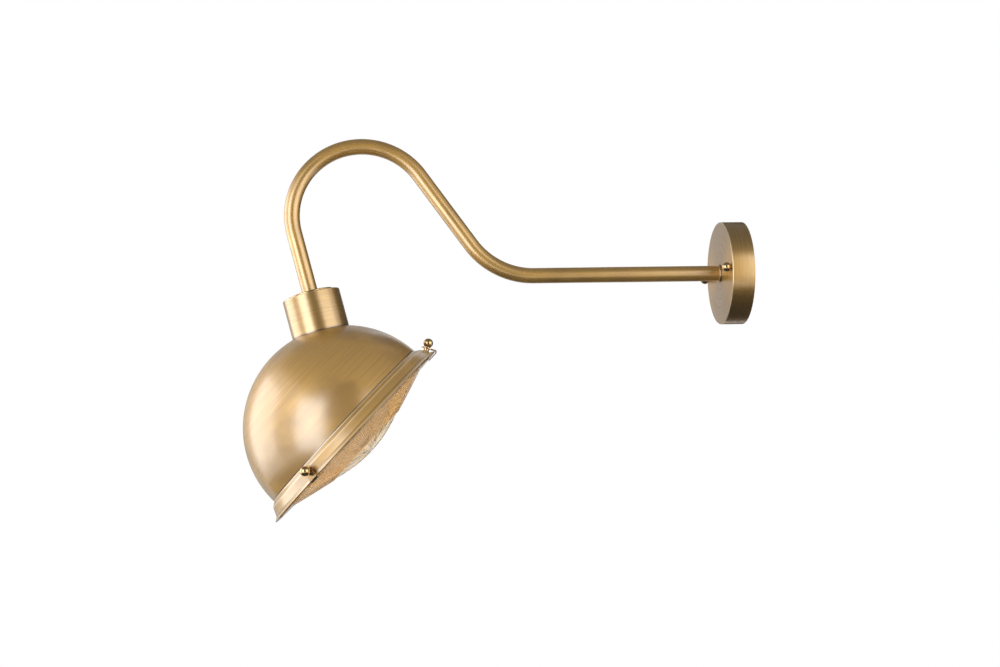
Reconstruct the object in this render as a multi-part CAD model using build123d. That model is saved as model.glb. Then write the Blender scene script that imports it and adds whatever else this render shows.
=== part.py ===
from build123d import *
import os
from math import asin, atan2, cos, degrees, radians, sin, sqrt

os.makedirs("parts", exist_ok=True)

# Gooseneck wall light. Millimetres and degrees. The origin is the centre of the canopy's back
# edge, on the wall. +Y points into the wall, +Z is up, and the arm lies in the plane X = 0.

# Clearances
seat_gap = 0.3          # between pieces that move apart, and under loose seats
thread_gap = 0.05       # between a thread and its tapped hole, and round brazed plugs
curve_gap = 0.1         # between curved sheets clamped together
hole_gap = 0.25         # round a screw in a plain hole

# Canopy and its bracket
canopy_d = 120.0
canopy_depth = 26.0
canopy_wall = 1.2
canopy_edge_r = 0.9
knob_spacing = 102.0
bracket_length = 113.0
bracket_width = 18.0
bracket_disc_d = 68.0
bracket_t = 2.0
wire_hole_d = 18.0
slot_spacing = 69.0
slot_length = 24.0
slot_width = 5.0

# Ball knobs and thumbscrews
ball_d = 11.0
ball_neck_d = 5.4
ball_neck_h = 0.4
stud_d = 4.0
knob_thread_depth = 6.0

# Arm
tube_d = 18.0
tube_wall = 1.5
ring_d = 21.0
ring_h = 2.4
ring_chamfer = 0.6
run_length = 218.6
wall_bend_r = 88.0
wall_bend_angle = 54.7
leg_length = 100.0
crook_r = 81.0
drop_length = 71.6
lamp_tilt = 14.0        # collar axis off the vertical

# Hollow threaded nipples that hold the arm's two ends
nipple_d = 10.0
nipple_bore_d = 7.0
plug_length = 14.0
nipple_engagement = 10.0
nut_flats = 14.0
nut_h = 3.5
nipple_tail = 1.0       # how far a nipple passes its nut
washer_d = 19.0
washer_t = 1.0

# Collar and lamp holder
collar_d = 66.0
collar_h = 45.0
collar_wall = 1.4
collar_edge_r = 1.2
cap_disc_d = 52.0
cap_disc_h = 2.4
holder_cap_h = 11.0
holder_cap_wall = 0.8
holder_d = 40.0
holder_h = 44.0
holder_shoulder_h = 6.0
holder_mouth_d = 30.0
holder_bore_depth = 34.0
holder_edge_r = 1.2
grub_d = 3.0
grub_length = 3.5
grub_z = -8.8           # below the cap's top
shell_bore_d = 26.6
shell_wall = 0.4
shell_h = 22.0
shell_lead = 2.0
shell_foot_bore_d = 18.4
pocket_depth = 5.0      # in the bore's floor, for the centre contact
contact_d = 9.0
contact_t = 0.6
contact_rise = 3.0

# Shade
shade_tilt = 46.0       # the opening's axis off straight down, towards the wall
dome_d = 231.0
dome_cut = 1.8          # the ball's centre lies this far below the shoulder
sheet = 1.0
shoulder_w = 5.8
shoulder_drop = 4.0
band_h = 9.5
band_flare = 4.7
lip_w = 5.0
lip_drop = 3.2
shade_ring_t = 1.6
flange_t = 3.2          # the collar's flange
flange_w = 5.6          # how far it reaches in from the collar's wall
shade_screw_d = 3.0
shade_screw_head_d = 5.6
shade_screw_head_h = 1.8
shade_screw_count = 3

# Glass and its seal
glass_play = 1.5        # round the glass, inside the band
glass_rim_w = 17.0
glass_rim_h = 9.5
glass_drop = 23.0       # how far the glass bulges past its own rim
glass_slope = 0.30      # the bulge's slope where it leaves the rim
glass_t = 4.0
glass_below_lip = 0.4
rib_count = 12
rib_depth = 0.7
plain_share = 0.5       # share of the bulge, from its tip, that has no rings
seal_w = 4.5

# Clips
clip_count = 3
clip_w = 11.5
clip_t = 1.0
clip_waist_w = 9.6
clip_head_d = 12.6
clip_standoff = 4.0     # from the band to the inside of the strap
clip_bend_r = 1.6
clip_hook_reach = 14.5
clip_foot = 6.3         # from the step down the band to the screw
clip_slot_extra = 0.9
thumb_reach = 1.6       # how far the screw passes the band's outer face
boss_flange_d = 8.2
boss_flange_h = 1.2
boss_neck_d = 6.2
boss_swage_h = 0.4
boss_swage_w = 0.7
thumb_collar_d = 7.4
thumb_collar_h = 0.8

# Wiring block and earth screw
block_size = (30.0, 12.0, 13.0)
block_edge_r = 1.0
block_below = 20.0      # under the canopy's centre
block_screw_d = 3.0
way_count = 3
way_pitch = 9.0
way_d = 3.4
earth_screw_d = 4.0
earth_place = (22.0, 15.0)


# Worked-out sizes
collar_r = collar_d / 2
neck_hole_d = collar_d - 2 * (collar_wall + flange_w)
dome_r = dome_d / 2
lip_z = sheet
shoulder_r = sqrt(dome_r**2 - dome_cut**2)
band_bottom = Vector(shoulder_r + shoulder_w + band_flare, lip_z + lip_drop)
band_top = Vector(shoulder_r + shoulder_w, band_bottom.Y + band_h)
shoulder_top = Vector(shoulder_r, band_top.Y + shoulder_drop)
lip_r = band_bottom.X + lip_w
dome_centre_z = shoulder_top.Y - dome_cut
band_angle = degrees(atan2(band_flare, band_h))
junction = sqrt(dome_r**2 - collar_r**2)    # from the ball's centre up to the collar's lower edge
collar_top = junction + collar_h            # from the ball's centre up to the collar's top
screw_swing = degrees(asin((neck_hole_d + collar_d - 2 * collar_wall) / 4 / dome_r))
cap_top_z = -collar_wall                    # the lamp holder cap's top, in the lamp frame
nipple_foot_z = cap_top_z - holder_cap_wall - washer_t - nut_h - nipple_tail
holder_foot_z = nipple_foot_z - hole_gap - holder_h
holder_floor_z = holder_foot_z + holder_bore_depth
canopy_inside_z = canopy_depth - canopy_wall

# Frames. The wall frame's z leaves the wall; the lamp frame's z leaves the collar's top along the
# tube; the shade frame's z runs up to the dome's pole from the lip, and its y to the upper clip.
wall_frame = Plane(origin=(0, 0, 0), x_dir=(1, 0, 0), z_dir=(0, -1, 0))


def arm_path():
    """Centre line of the tube from the ring on the canopy to the disc on the collar, in (Y, Z)."""
    start = Vector(-(canopy_depth + ring_h), 0)
    run = PolarLine(start, run_length, direction=(-1, 0))
    wall_bend = JernArc(run @ 1, run % 1, wall_bend_r, -wall_bend_angle)
    leg = PolarLine(wall_bend @ 1, leg_length, direction=wall_bend % 1)
    crook = JernArc(leg @ 1, leg % 1, crook_r, 90 + wall_bend_angle + lamp_tilt)
    drop = PolarLine(crook @ 1, drop_length, direction=crook % 1)
    return Wire([piece.edge() for piece in (run, wall_bend, leg, crook, drop)])


path = arm_path()
path_end = path @ 1
lamp_axis = Vector(0, -sin(radians(lamp_tilt)), cos(radians(lamp_tilt)))
collar_top_point = Vector(0, path_end.X, path_end.Y) - lamp_axis * cap_disc_h
lamp_frame = Plane(origin=collar_top_point, x_dir=(1, 0, 0), z_dir=lamp_axis)
shade_axis = Vector(0, -sin(radians(shade_tilt)), cos(radians(shade_tilt)))
dome_centre = collar_top_point - lamp_axis * collar_top
shade_frame = Plane(origin=dome_centre - shade_axis * dome_centre_z, x_dir=(1, 0, 0), z_dir=shade_axis)


def ring(outer_d, inner_d, height, z=0.0):
    """Flat ring or tube standing on z."""
    return Pos(0, 0, z) * extrude(Circle(outer_d / 2) - Circle(inner_d / 2), height)


def rod(diameter, height, z=0.0):
    """Round bar standing on z."""
    return Pos(0, 0, z) * extrude(Circle(diameter / 2), height)


def turned(*points):
    """Solid turned about the z axis from a closed outline of (radius, z) points."""
    return revolve(Plane.XZ * make_face(Polyline(*points, close=True)), Axis.Z)


def hex_nut(flats, bore_d, height, z=0.0):
    """Hexagon nut standing on z, with its upper and lower corners turned off."""
    nut = extrude(RegularPolygon(flats / 2, 6, major_radius=False) - Circle(bore_d / 2), height)
    corner_r = flats / 2 / cos(radians(30))
    drop = corner_r - flats / 2
    turned_blank = chamfer(extrude(Circle(corner_r), height).edges(), length=drop * 0.6, length2=drop)
    return Pos(0, 0, z) * (nut & turned_blank)


def pan_screw(shank_d, shank_h, head_d, head_h):
    """Slotted screw along z: the head's underside is at z = 0, and the shank goes down."""
    head = fillet(rod(head_d, head_h).edges().group_by(Axis.Z)[-1], head_h * 0.6)
    slot = Pos(0, 0, head_h) * Box(head_d * 2, head_d * 0.16, head_h)
    return head - slot + rod(shank_d, shank_h, -shank_h)


def ball_head():
    """Ball with a short turned neck. The neck's foot is at z = 0."""
    centre_z = ball_neck_h + sqrt((ball_d / 2) ** 2 - (ball_neck_d / 2) ** 2)
    neck = Polyline((0, centre_z + ball_d / 2), (0, 0), (ball_neck_d / 2, 0), (ball_neck_d / 2, ball_neck_h))
    ball = ThreePointArc(neck @ 1, (ball_d / 2, centre_z), neck @ 0)
    return revolve(Plane.XZ * make_face([neck, ball]), Axis.Z)


# Wall side

def wall_bracket():
    """Pressed strap with a round middle. It is screwed to the wall box through its two slots."""
    outline = Circle(bracket_disc_d / 2) + RectangleRounded(bracket_length, bracket_width, bracket_width / 3)
    outline -= Circle(wire_hole_d / 2)
    outline -= GridLocations(slot_spacing, 0, 2, 1) * SlotOverall(slot_length, slot_width)
    outline -= GridLocations(knob_spacing, 0, 2, 1) * Circle(stud_d / 2 + thread_gap)
    outline -= Pos(*earth_place) * Circle(earth_screw_d / 2 + thread_gap)
    outline -= block_screw_places() * Circle(block_screw_d / 2 + thread_gap)
    return extrude(outline, bracket_t)


def block_screw_places():
    """The wiring block's two screws lie between its three ways."""
    return Pos(0, -block_below) * GridLocations(way_pitch, 0, way_count - 1, 1)


def canopy_studs():
    """Two threaded studs riveted into the strap's ends. The ball knobs screw onto them."""
    tip = canopy_depth + ball_neck_h + knob_thread_depth - seat_gap
    stud = chamfer(rod(stud_d, tip).edges().group_by(Axis.Z)[-1], stud_d * 0.1)
    return Compound(GridLocations(knob_spacing, 0, 2, 1) * stud)


def canopy_cover():
    """Round spun cup, open at the wall, with a hole for the nipple and two for the studs."""
    cup = rod(canopy_d, canopy_depth)
    cup = fillet(cup.edges().group_by(Axis.Z)[-1], canopy_edge_r)
    cup -= rod(canopy_d - 2 * canopy_wall, canopy_depth - canopy_wall)
    cup -= rod(nipple_d + 2 * hole_gap, canopy_depth)
    cup -= GridLocations(knob_spacing, 0, 2, 1) * rod(stud_d + 2 * hole_gap, canopy_depth)
    return cup


def canopy_knob(side):
    """Ball nut on one stud. Its thread bore is blind."""
    knob = ball_head() - rod(stud_d + 2 * thread_gap, ball_neck_h + knob_thread_depth)
    return Pos(side * knob_spacing / 2, 0, canopy_depth) * knob


def arm_ring():
    """Turned ring between the canopy's face and the tube."""
    body = chamfer(rod(ring_d, ring_h).edges().group_by(Axis.Z)[-1], ring_chamfer)
    return Pos(0, 0, canopy_depth) * (body - rod(nipple_d + 2 * hole_gap, ring_h))


def nipple(length):
    """Hollow threaded pipe that the wires run through, with chamfered ends."""
    body = rod(nipple_d, length)
    body = chamfer(body.edges(), nipple_d * 0.04)
    return body - rod(nipple_bore_d, length)


def wall_nipple():
    """From inside the arm's plug, through ring and canopy, to just past the lock nut."""
    inner_end = canopy_inside_z - washer_t - nut_h - nipple_tail
    return Pos(0, 0, inner_end) * nipple(canopy_depth + ring_h + nipple_engagement - inner_end)


def lock_washer():
    """Plain washer for a nipple, standing on z = 0."""
    return ring(washer_d, nipple_d + 2 * hole_gap, washer_t)


def lock_nut():
    """Hexagon nut for a nipple, standing on z = 0."""
    return hex_nut(nut_flats, nipple_d + 2 * thread_gap, nut_h)


def terminal_block():
    """Moulded wiring block on the bracket: three ways right through, a clamp screw at each."""
    length, depth, height = block_size
    block = Box(length, depth, height, align=(Align.CENTER, Align.CENTER, Align.MIN))
    block = fillet(block.edges().filter_by(Axis.Z), block_edge_r)
    way = Pos(0, 0, height * 0.4) * Rotation(90, 0, 0) * Cylinder(way_d / 2, depth * 2)
    block -= GridLocations(way_pitch, 0, way_count, 1) * way
    block -= clamp_places() * rod(way_d, height, height * 0.4)
    block -= GridLocations(way_pitch, 0, way_count - 1, 1) * rod(block_screw_d + 2 * hole_gap, height)
    return Pos(0, -block_below, bracket_t) * block


def clamp_places():
    """One clamp screw over each end of each way."""
    return GridLocations(way_pitch, block_size[1] / 2, way_count, 2)


def terminal_screws():
    """The six slotted clamp screws in the wiring block."""
    height = block_size[2]
    screw_h = height * 0.25
    slot = Pos(0, 0, screw_h) * Box(way_d, way_d * 0.2, screw_h * 0.4)
    screw = rod(way_d - 2 * thread_gap, screw_h) - slot
    return Pos(0, -block_below, bracket_t + height * 0.7) * Compound(clamp_places() * screw)


def block_screws():
    """Two screws that hold the wiring block to the bracket."""
    head_h = block_screw_d * 0.6
    screw = pan_screw(block_screw_d, block_size[2] + bracket_t, block_screw_d * 1.6, head_h)
    return Pos(0, 0, bracket_t + block_size[2]) * Compound(block_screw_places() * screw)


def earth_screw():
    """Screw and washer head for the earth wire, tapped into the bracket."""
    head = pan_screw(earth_screw_d, bracket_t, earth_screw_d * 2.1, earth_screw_d * 0.6)
    return Pos(*earth_place, bracket_t) * head


# Arm

def arm_tube():
    """Bent brass tube: run, bend, straight leg, crook and drop, one wall thickness all along."""
    section = Plane(origin=path @ 0, z_dir=path % 0) * (Circle(tube_d / 2) - Circle(tube_d / 2 - tube_wall))
    return Plane.YZ.location * sweep(section, path=path)


def arm_plug():
    """Threaded plug brazed in a tube end. Its outer face is at z = 0 and it goes up."""
    plug = rod(tube_d - 2 * tube_wall - 2 * thread_gap, plug_length)
    return chamfer(plug.edges(), ring_chamfer) - rod(nipple_d + 2 * thread_gap, plug_length)


# Collar and lamp holder, in the lamp frame

def lamp_nipple():
    """From just past the lock nut, through the collar's top and the disc, into the arm's plug."""
    return Pos(0, 0, nipple_foot_z) * nipple(cap_disc_h + nipple_engagement - nipple_foot_z)


def cap_disc():
    """Low turned disc between the collar's top and the tube."""
    disc = rod(cap_disc_d, cap_disc_h)
    disc = fillet(disc.edges().group_by(Axis.Z)[-1], cap_disc_h * 0.3)
    return disc - rod(nipple_d + 2 * hole_gap, cap_disc_h)


def ball_at_dome(radius):
    """Ball about the dome's centre, in the lamp frame."""
    return Pos(0, 0, -collar_top) * Sphere(radius)


def shade_screw_places():
    """Frames of the screws that hold the shade: square to the dome, evenly round the collar's axis."""
    centre = Pos(0, 0, -collar_top)
    swing = Rotation(screw_swing, 0, 0)
    turns = [360 * k / shade_screw_count for k in range(shade_screw_count)]
    return [centre * Rotation(0, 0, turn) * swing for turn in turns]


def collar():
    """Turned cup. Its lower end has a flange, curved to sit on the dome, that is tapped for screws."""
    cup = fillet(rod(collar_d, collar_h, -collar_h).edges().group_by(Axis.Z)[-1], collar_edge_r)
    cup -= rod(collar_d - 2 * collar_wall, collar_h - collar_wall, -collar_h)
    seat = ball_at_dome(dome_r + curve_gap)
    flange = ring(collar_d, neck_hole_d, collar_top, -collar_top) - seat
    flange &= ball_at_dome(dome_r + flange_t)
    cup = cup - seat + flange
    cup -= rod(nipple_d + 2 * hole_gap, 2 * collar_wall, -2 * collar_wall)
    tapped = rod(shade_screw_d + 2 * thread_gap, dome_r * 2)
    for place in shade_screw_places():
        cup -= place * tapped & ball_at_dome(dome_r + 2 * flange_t)
    return cup


def holder_cap():
    """Metal cap over the lamp holder. The nipple's nut clamps it to the inside of the collar's top."""
    inner_d = holder_d + 2 * hole_gap
    cap = rod(inner_d + 2 * holder_cap_wall, holder_cap_h, -holder_cap_h)
    cap = fillet(cap.edges().group_by(Axis.Z)[-1], holder_cap_wall * 2)
    cap -= rod(inner_d, holder_cap_h - holder_cap_wall, -holder_cap_h)
    cap -= rod(nipple_d + 2 * hole_gap, holder_cap_h, -holder_cap_h)
    grub_hole = Rotation(0, 90, 0) * Cylinder(grub_d / 2 + thread_gap, 2 * inner_d)
    return Pos(0, 0, cap_top_z) * (cap - Pos(0, 0, grub_z) * grub_hole)


def holder_screws():
    """Two grub screws through the cap's skirt. Their tips sit in notches in the porcelain."""
    skirt_r = holder_d / 2 + hole_gap + holder_cap_wall
    screw = rod(grub_d, grub_length) - Pos(0, 0, grub_length) * Box(grub_d, grub_d * 0.2, grub_d * 0.5)
    placed = Pos(skirt_r - grub_length, 0, cap_top_z + grub_z) * Rotation(0, 90, 0) * screw
    return Compound([Rotation(0, 0, 180 * k) * placed for k in range(2)])


def holder_body():
    """Porcelain lamp holder: spigot in the cap, shoulder under its rim, stepped bore for the lamp."""
    shoulder_d = holder_d + 2 * (hole_gap + holder_cap_wall)
    body = rod(holder_d, holder_h, holder_foot_z)
    body += rod(shoulder_d, holder_shoulder_h, cap_top_z - holder_cap_h - holder_shoulder_h)
    body = fillet(body.edges().group_by(Axis.Z)[0], holder_edge_r)
    body -= rod(shell_bore_d + 2 * (shell_wall + curve_gap), holder_bore_depth, holder_foot_z)
    body -= rod(holder_mouth_d, holder_bore_depth - shell_h - shell_lead, holder_foot_z)
    body -= rod(shell_foot_bore_d, pocket_depth, holder_floor_z)
    bore = Cylinder(grub_d / 2 + hole_gap, 2 * (grub_length - holder_cap_wall))
    notch = Pos(holder_d / 2, 0, cap_top_z + grub_z) * Rotation(0, 90, 0) * bore
    return body - notch - Rotation(0, 0, 180) * notch


def holder_shell():
    """Rolled screw shell for the lamp, with a turned-in foot on the bore's floor."""
    shell_d = shell_bore_d + 2 * shell_wall
    shell = ring(shell_d, shell_bore_d, shell_h, -shell_h)
    shell += ring(shell_d, shell_foot_bore_d, shell_wall, -shell_wall)
    return Pos(0, 0, holder_floor_z) * shell


def holder_contact():
    """Centre contact: a round foot in the pocket and a sprung tongue that meets the lamp's tip."""
    foot = rod(contact_d, contact_t, -contact_t)
    tongue = FilletPolyline((0, -contact_t / 2), (contact_d, -contact_t / 2 - contact_rise),
                            (contact_d * 0.2, -contact_rise * 1.6), radius=contact_t)
    strip = extrude(Plane.XZ * trace(tongue, line_width=contact_t), contact_d / 4, both=True)
    return Pos(-contact_d * 0.4, 0, holder_floor_z + pocket_depth) * (foot + strip)


# Shade, in the shade frame

def dome_outline():
    """Outer side of the spun sheet as a line in (radius, z): lip, band, shoulder and ball."""
    rim = FilletPolyline((lip_r, lip_z), band_bottom, band_top, shoulder_top, radius=sheet * 0.6)
    pole = Vector(0, dome_centre_z + dome_r)
    start = degrees(asin(dome_cut / dome_r))
    middle = Vector(0, dome_centre_z) + Vector(dome_r, 0).rotate(Axis.Z, (start + 90) / 2)
    return Wire(rim.edges() + [ThreePointArc(rim @ 1, middle, pole).edge()])


def shade_dome():
    """Spun hemisphere with a stepped band and a flared lip. A hole to one side takes the collar."""
    outline = dome_outline()
    wall = make_face(offset(outline, sheet, side=Side.LEFT))
    shell = revolve(Plane.XZ * wall, Axis.Z)
    for place in clip_places():
        shell -= place * rod(boss_neck_d + 2 * hole_gap, 4 * sheet, -2 * sheet)
    shell = shade_frame.location * shell
    shell -= lamp_frame.location * rod(neck_hole_d, collar_top, -collar_top)
    for place in shade_screw_places():
        shell -= lamp_frame.location * place * rod(shade_screw_d + 2 * hole_gap, 2 * dome_r)
    return shell


def shade_ring():
    """Steel ring inside the dome. Its curve matches the ball, and its screws clamp the dome."""
    outer_r = dome_r - sheet - curve_gap
    band = ring(collar_d, neck_hole_d, collar_top, -collar_top)
    band = band & ball_at_dome(outer_r) - ball_at_dome(outer_r - shade_ring_t)
    for place in shade_screw_places():
        band -= place * rod(shade_screw_d + 2 * hole_gap, 2 * dome_r)
    return band


def shade_screws():
    """Screws from inside the dome, through ring and dome, into the collar's flange."""
    shank = shade_ring_t + 3 * curve_gap + sheet + flange_t * 0.9
    screw = pan_screw(shade_screw_d, shank, shade_screw_head_d, shade_screw_head_h)
    seat = dome_r - sheet - 2 * curve_gap - shade_ring_t
    seated = Pos(0, 0, seat) * Rotation(180, 0, 0) * screw
    return Compound([place * seated for place in shade_screw_places()])


def band_inner_r(z):
    """Radius of the band's inner side at a height."""
    outer = band_bottom.X - (z - band_bottom.Y) * band_flare / band_h
    return outer - sheet / cos(radians(band_angle))


def shoulder_inner_z(r):
    """Height of the shoulder's inner side at a radius."""
    steepness = shoulder_drop / shoulder_w
    return shoulder_top.Y - (r - shoulder_r) * steepness - sheet * sqrt(1 + steepness**2)


glass_bottom_z = -glass_below_lip
glass_top_z = glass_bottom_z + glass_rim_h
glass_r = band_inner_r(glass_top_z) - glass_play
bulge_r = glass_r - glass_rim_w
knee_r = bulge_r - glass_drop / glass_slope     # where the bulge's slope at the rim meets its level tip


def bulge_point(u, lift=0.0):
    """Point of the glass's bulge, from its tip at u = 0 to its rim at u = 1."""
    radius = 2 * u * (1 - u) * knee_r + u * u * bulge_r
    return (radius, glass_bottom_z - glass_drop * (1 - u * u) + lift)


def rib_points():
    """Saw-tooth rings round the bulge, from the plain middle out to the rim."""
    points = []
    for k in range(rib_count):
        u = plain_share + (1 - plain_share) * k / rib_count
        crest = plain_share + (1 - plain_share) * (k + 0.5) / rib_count
        points += [bulge_point(u), bulge_point(crest, -rib_depth)]
    return points


def lens_glass():
    """Pressed prismatic glass: a thick flat rim, and a shallow bulge with rings of prisms."""
    tip = Bezier(bulge_point(0), (plain_share * knee_r, bulge_point(0)[1]), bulge_point(plain_share))
    ribs = Polyline(*rib_points(), bulge_point(1))
    inner_tip = bulge_point(0, glass_t)
    rim = Polyline(bulge_point(1), (glass_r, glass_bottom_z), (glass_r, glass_top_z),
                   (bulge_r + 1, glass_top_z), bulge_point(1, glass_t))
    back = Bezier(rim @ 1, (knee_r, inner_tip[1]), inner_tip)
    axis_line = Line(inner_tip, bulge_point(0))
    return revolve(Plane.XZ * make_face([tip, ribs, rim, back, axis_line]), Axis.Z)


def lens_seal():
    """Silicone ring between the glass's rim and the inside of the shoulder."""
    outer = glass_r - glass_play
    inner = outer - seal_w
    return turned((inner, glass_top_z), (outer, glass_top_z),
                  (outer, shoulder_inner_z(outer) - curve_gap), (inner, shoulder_inner_z(inner) - curve_gap))


# Clips, each built at the shade frame's x axis and turned to its place

def clip_foot_point():
    """Where a clip's screw meets the band's outer side, as (radius, z)."""
    down = (band_bottom - band_top).normalized()
    return band_top + down * clip_foot


def band_frame():
    """x runs down the band, z leaves it squarely."""
    foot = clip_foot_point()
    across, along = cos(radians(band_angle)), sin(radians(band_angle))
    return Plane(origin=(foot.X, 0, foot.Y), x_dir=(along, 0, -across), z_dir=(across, 0, along))


def clip_turns():
    """Turn of each clip about the shade's axis: one points up the arm's plane, the rest even."""
    return [90 - 360 * k / clip_count for k in range(clip_count)]


def clip_places():
    """Frame of each clip's screw, in the shade frame."""
    return [Rotation(0, 0, turn) * band_frame().location for turn in clip_turns()]


def clip_strap():
    """Brass strip: round head under the thumbscrew, waist, and a hook under the lip and glass."""
    angle = radians(band_angle)
    down = Vector(sin(angle), -cos(angle))
    out = Vector(cos(angle), sin(angle))
    hook_z = glass_bottom_z - seat_gap - clip_t / 2
    start = clip_foot_point() + out * (clip_standoff + clip_t / 2) - down * (clip_head_d / 2)
    corner = start + down * ((start.Y - hook_z) / cos(angle))
    tip = Vector(corner.X - clip_hook_reach, hook_z)
    line = FilletPolyline(start, corner, tip, radius=clip_bend_r + clip_t / 2)
    strip = extrude(Plane.XZ * trace(line, line_width=clip_t), clip_w, both=True)
    waist_x = clip_head_d * 0.4
    reach = 4 * clip_w
    waist_y, side_y = clip_waist_w / 2, clip_w / 2
    side = [(0, waist_y), (waist_x, waist_y), (2 * waist_x, side_y), (reach, side_y)]
    mirrored = [(x, -y) for x, y in reversed(side)]
    outline = Circle(clip_head_d / 2) + make_face(Polyline(*side, *mirrored, close=True))
    slot_w = stud_d + 2 * seat_gap
    outline -= SlotOverall(slot_w + 2 * clip_slot_extra, slot_w)
    return strip & band_frame().location * extrude(outline, reach, both=True)


def clip_boss():
    """Turned rivet nut in the band: a wide foot outside, a tapped neck, and a swaged rim inside."""
    foot_z = curve_gap
    top = clip_standoff - seat_gap
    inside = -sheet - 2 * curve_gap
    barrel_r = boss_neck_d / 2
    bore_r = stud_d / 2 + thread_gap
    return turned((bore_r, inside - boss_swage_h), (barrel_r + boss_swage_w, inside - boss_swage_h),
                  (barrel_r + boss_swage_w, inside), (barrel_r, inside), (barrel_r, foot_z),
                  (boss_flange_d / 2, foot_z), (boss_flange_d / 2, foot_z + boss_flange_h * 0.4),
                  (barrel_r, foot_z + boss_flange_h), (barrel_r, top), (bore_r, top))


def thumbscrew():
    """Ball-headed screw: the ball's collar presses the strap, and its thread runs in the boss."""
    under_head = clip_standoff + clip_t + seat_gap
    screw = Pos(0, 0, under_head) * (ball_head() + rod(thumb_collar_d, thumb_collar_h))
    return screw + rod(stud_d, under_head + thumb_reach, -thumb_reach)


def save(name, frame, shape):
    """Put one piece in its place and write it."""
    export_step(frame.location * shape, f"parts/{name}.step")


world = Plane.XY

save("wall_bracket", wall_frame, wall_bracket())
save("canopy_studs", wall_frame, canopy_studs())
save("terminal_block", wall_frame, terminal_block())
save("terminal_screws", wall_frame, terminal_screws())
save("block_screws", wall_frame, block_screws())
save("earth_screw", wall_frame, earth_screw())
save("canopy_cover", wall_frame, canopy_cover())
save("canopy_knob_right", wall_frame, canopy_knob(1))
save("canopy_knob_left", wall_frame, canopy_knob(-1))
save("arm_ring", wall_frame, arm_ring())
save("wall_nipple", wall_frame, wall_nipple())
save("wall_washer", wall_frame, Pos(0, 0, canopy_inside_z - washer_t) * lock_washer())
save("wall_nut", wall_frame, Pos(0, 0, canopy_inside_z - washer_t - nut_h) * lock_nut())
save("arm_wall_plug", wall_frame, Pos(0, 0, canopy_depth + ring_h) * arm_plug())

save("arm_tube", world, arm_tube())

save("arm_lamp_plug", lamp_frame, Pos(0, 0, cap_disc_h) * arm_plug())
save("cap_disc", lamp_frame, cap_disc())
save("collar", lamp_frame, collar())
save("lamp_nipple", lamp_frame, lamp_nipple())
save("holder_cap", lamp_frame, holder_cap())
save("lamp_washer", lamp_frame, Pos(0, 0, nipple_foot_z + nipple_tail + nut_h) * lock_washer())
save("lamp_nut", lamp_frame, Pos(0, 0, nipple_foot_z + nipple_tail) * lock_nut())
save("holder_body", lamp_frame, holder_body())
save("holder_screws", lamp_frame, holder_screws())
save("holder_shell", lamp_frame, holder_shell())
save("holder_contact", lamp_frame, holder_contact())
save("shade_ring", lamp_frame, shade_ring())
save("shade_screws", lamp_frame, shade_screws())

save("shade_dome", world, shade_dome())
save("lens_seal", shade_frame, lens_seal())
save("lens_glass", shade_frame, lens_glass())
save("clip_bosses", shade_frame, Compound([place * clip_boss() for place in clip_places()]))
for name, turn, place in zip(("top", "near", "far"), clip_turns(), clip_places()):
    save(f"clip_{name}", shade_frame, Rotation(0, 0, turn) * clip_strap())
    save(f"thumbscrew_{name}", shade_frame, place * thumbscrew())
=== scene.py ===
from math import atan2, cos, hypot, pi, radians, sin, sqrt

import bmesh
import bpy
from mathutils import Matrix, Vector


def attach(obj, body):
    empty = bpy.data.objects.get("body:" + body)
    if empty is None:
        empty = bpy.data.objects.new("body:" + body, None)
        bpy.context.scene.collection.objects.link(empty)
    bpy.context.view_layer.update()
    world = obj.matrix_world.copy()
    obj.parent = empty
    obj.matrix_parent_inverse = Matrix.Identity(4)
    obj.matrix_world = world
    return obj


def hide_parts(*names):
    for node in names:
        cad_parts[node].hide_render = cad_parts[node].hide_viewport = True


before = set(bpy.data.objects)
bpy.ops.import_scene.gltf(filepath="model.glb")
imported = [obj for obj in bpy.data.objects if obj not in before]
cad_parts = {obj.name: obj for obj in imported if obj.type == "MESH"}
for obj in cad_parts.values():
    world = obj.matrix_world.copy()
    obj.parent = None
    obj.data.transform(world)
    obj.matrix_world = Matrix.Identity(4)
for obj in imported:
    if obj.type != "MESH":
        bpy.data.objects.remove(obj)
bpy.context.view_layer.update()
scene = bpy.context.scene
scene.view_settings.view_transform = "Standard"


# ---------------------------------------------------------------- View, light and floor
# The view is from the lamp's side, a little below it. Two soft boxes stand to its left and a
# warmer one to its right. Grey cards above, below, in front and behind shade the metal.
mm = 0.001
lamp_middle = Vector((0, -0.45, -0.12))
view_place = Vector((1.684258, -0.468164, -0.242369))
view_forward = Vector((-0.98902, 0.10593, 0.10308))
view_right = Vector((0.10366, 0.99424, -0.02718))
daylight, lamplight = (0.96, 1.0, 1.04), (1.04, 1.0, 0.85)
black_card, dark_card = (0.06, 0.06, 0.06), (0.08, 0.08, 0.08)
dim_card, pale_card = (0.22, 0.22, 0.20), (0.50, 0.50, 0.50)
white_sky, fill_sky = 1.0, 0.75
floor_r, floor_z = 5.0, -1.3


def put(name, data):
    """Object with this data, in the scene."""
    thing = bpy.data.objects.new(name, data)
    scene.collection.objects.link(thing)
    return thing


def mesh_of(name, bm):
    """Mesh made of a bmesh, which is let go."""
    mesh = bpy.data.meshes.new(name)
    bm.to_mesh(mesh)
    bm.free()
    return mesh


def round_lamp(azimuth, height, distance):
    """Frame of a thing that faces the lamp. Azimuth 0 is the view's side and 90 the wall's."""
    turn, lift = radians(azimuth), radians(height)
    away = Vector((cos(lift) * cos(turn), cos(lift) * sin(turn), sin(lift)))
    facing = away.to_track_quat("Z", "Y").to_matrix().to_4x4()
    return Matrix.Translation(lamp_middle + away * distance) @ facing


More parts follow.
